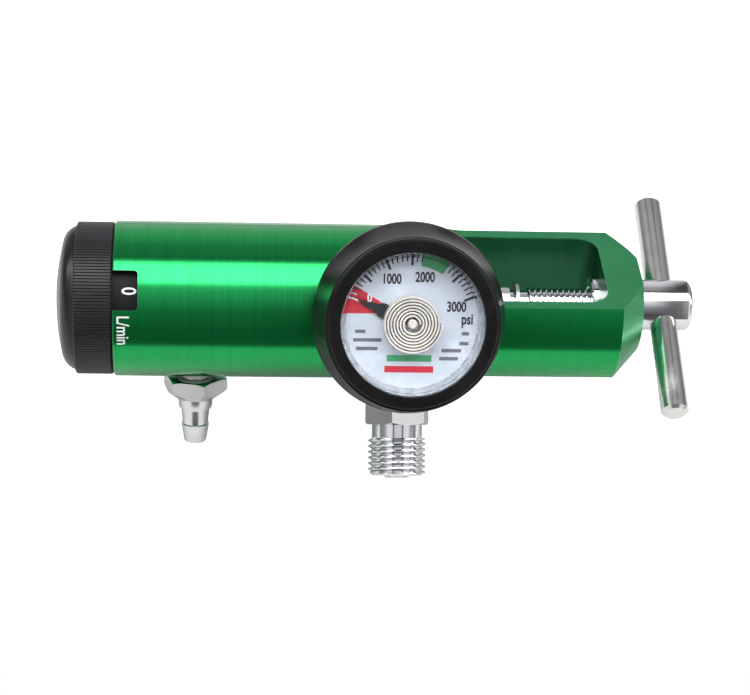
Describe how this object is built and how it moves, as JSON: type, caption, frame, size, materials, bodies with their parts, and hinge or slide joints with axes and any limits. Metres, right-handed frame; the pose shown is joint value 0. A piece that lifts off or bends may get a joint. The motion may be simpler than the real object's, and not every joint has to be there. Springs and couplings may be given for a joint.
{
  "type": "oxygen regulator",
  "caption": "Oxygen regulator with a yoke clamp, ribbed flow knob, booted contents gauge, threaded outlet and hose barb.",
  "frame": {"origin": "on the body's axis at the inlet wall of the yoke window", "axes": "+X along the body towards the T-handle, +Z square to the milled flats, -Y the front with the gauge"},
  "size_m": [0.1571, 0.0752, 0.0738],
  "materials": {
    "anodised_body": "green anodised, fine turning marks",
    "chrome": "polished plating",
    "spring_steel": "satin",
    "satin_nickel": "satin nickel plating",
    "brass": "machined",
    "coil_nickel": "nickel-plated tube",
    "seal_rubber": "smooth",
    "boot_rubber": "satin moulded",
    "gauge_case": "plated",
    "dial_face": "printed white",
    "lens": "clear",
    "pointer_black": "black lacquer",
    "knob_plastic": "satin moulded",
    "cap_plastic": "glossy"
  },
  "bodies": {
    "body": {"regulator_body": "anodised_body", "inlet_nipple": "brass", "inlet_filter": "brass", "inlet_washer": "seal_rubber", "index_pins": "spring_steel", "screw_bush": "chrome", "nozzle": "brass", "stem_guide": "brass", "stem_ring": "seal_rubber", "main_spring": "spring_steel", "flow_head": "brass", "head_ring": "seal_rubber", "plate_seal": "seal_rubber", "retaining_ring": "spring_steel", "detent_spring": "spring_steel", "gauge_case": "gauge_case", "gauge_boot": "boot_rubber", "dial_plate": "dial_face", "gauge_lens": "lens", "coil_post": "brass", "outlet_fitting": "chrome", "outlet_guide": "brass", "outlet_spring": "spring_steel", "hose_barb": "satin_nickel", "barb_washer": "satin_nickel"},
    "clamp_pad": {"swivel_pad": "spring_steel"},
    "clamp": {"clamp_screw": "chrome", "t_bar": "chrome", "screw_clip": "spring_steel"},
    "selector": {"selector_shaft": "spring_steel", "shaft_ring": "seal_rubber", "orifice_plate": "brass", "number_drum": "knob_plastic", "knob_grip": "knob_plastic", "knob_cap": "cap_plastic", "knob_screw": "spring_steel"},
    "gauge_pointer": {"pointer": "pointer_black", "bourdon_coil": "coil_nickel"},
    "piston_group": {"piston": "brass", "piston_seat": "seal_rubber", "piston_ring": "seal_rubber"},
    "check_poppet": {"outlet_poppet": "brass", "outlet_ring": "seal_rubber"},
    "detent": {"detent_ball": "spring_steel"}
  },
  "joints": [
    {"name": "clamp_slide", "type": "slide", "parent": "body", "child": "clamp_pad", "axis": [1, 0, 0], "range_m": [0, 0.0175]},
    {"name": "clamp_turn", "type": "hinge", "parent": "clamp_pad", "child": "clamp", "pos_m": [0.0542, 0, 0], "axis": [1, 0, 0], "range_deg": [0, 4460]},
    {"name": "flow_turn", "type": "hinge", "parent": "body", "child": "selector", "pos_m": [-0.0863, 0, 0], "axis": [1, 0, 0], "range_deg": [0, 330]},
    {"name": "pointer_turn", "type": "hinge", "parent": "body", "child": "gauge_pointer", "pos_m": [-0.012, -0.02979, 0.0172], "axis": [0, 0.866, -0.5], "range_deg": [0, 135.7], "stiffness_Nm_per_rad": 0.001},
    {"name": "piston_slide", "type": "slide", "parent": "body", "child": "piston_group", "axis": [1, 0, 0], "range_m": [0, 0.0008], "stiffness_N_per_m": 2000, "deforming": ["main_spring"]},
    {"name": "poppet_slide", "type": "slide", "parent": "body", "child": "check_poppet", "axis": [0, 0.6494, 0.7604], "range_m": [0, 0.0025], "stiffness_N_per_m": 500, "deforming": ["outlet_spring"]},
    {"name": "detent_slide", "type": "slide", "parent": "body", "child": "detent", "axis": [-1, 0, 0], "range_m": [0, 0.0006], "stiffness_N_per_m": 200}
  ],
  "couplings": [
    {"joint": "clamp_slide", "follows": "clamp_turn", "m_per_rad": 0.00022459}
  ]
}
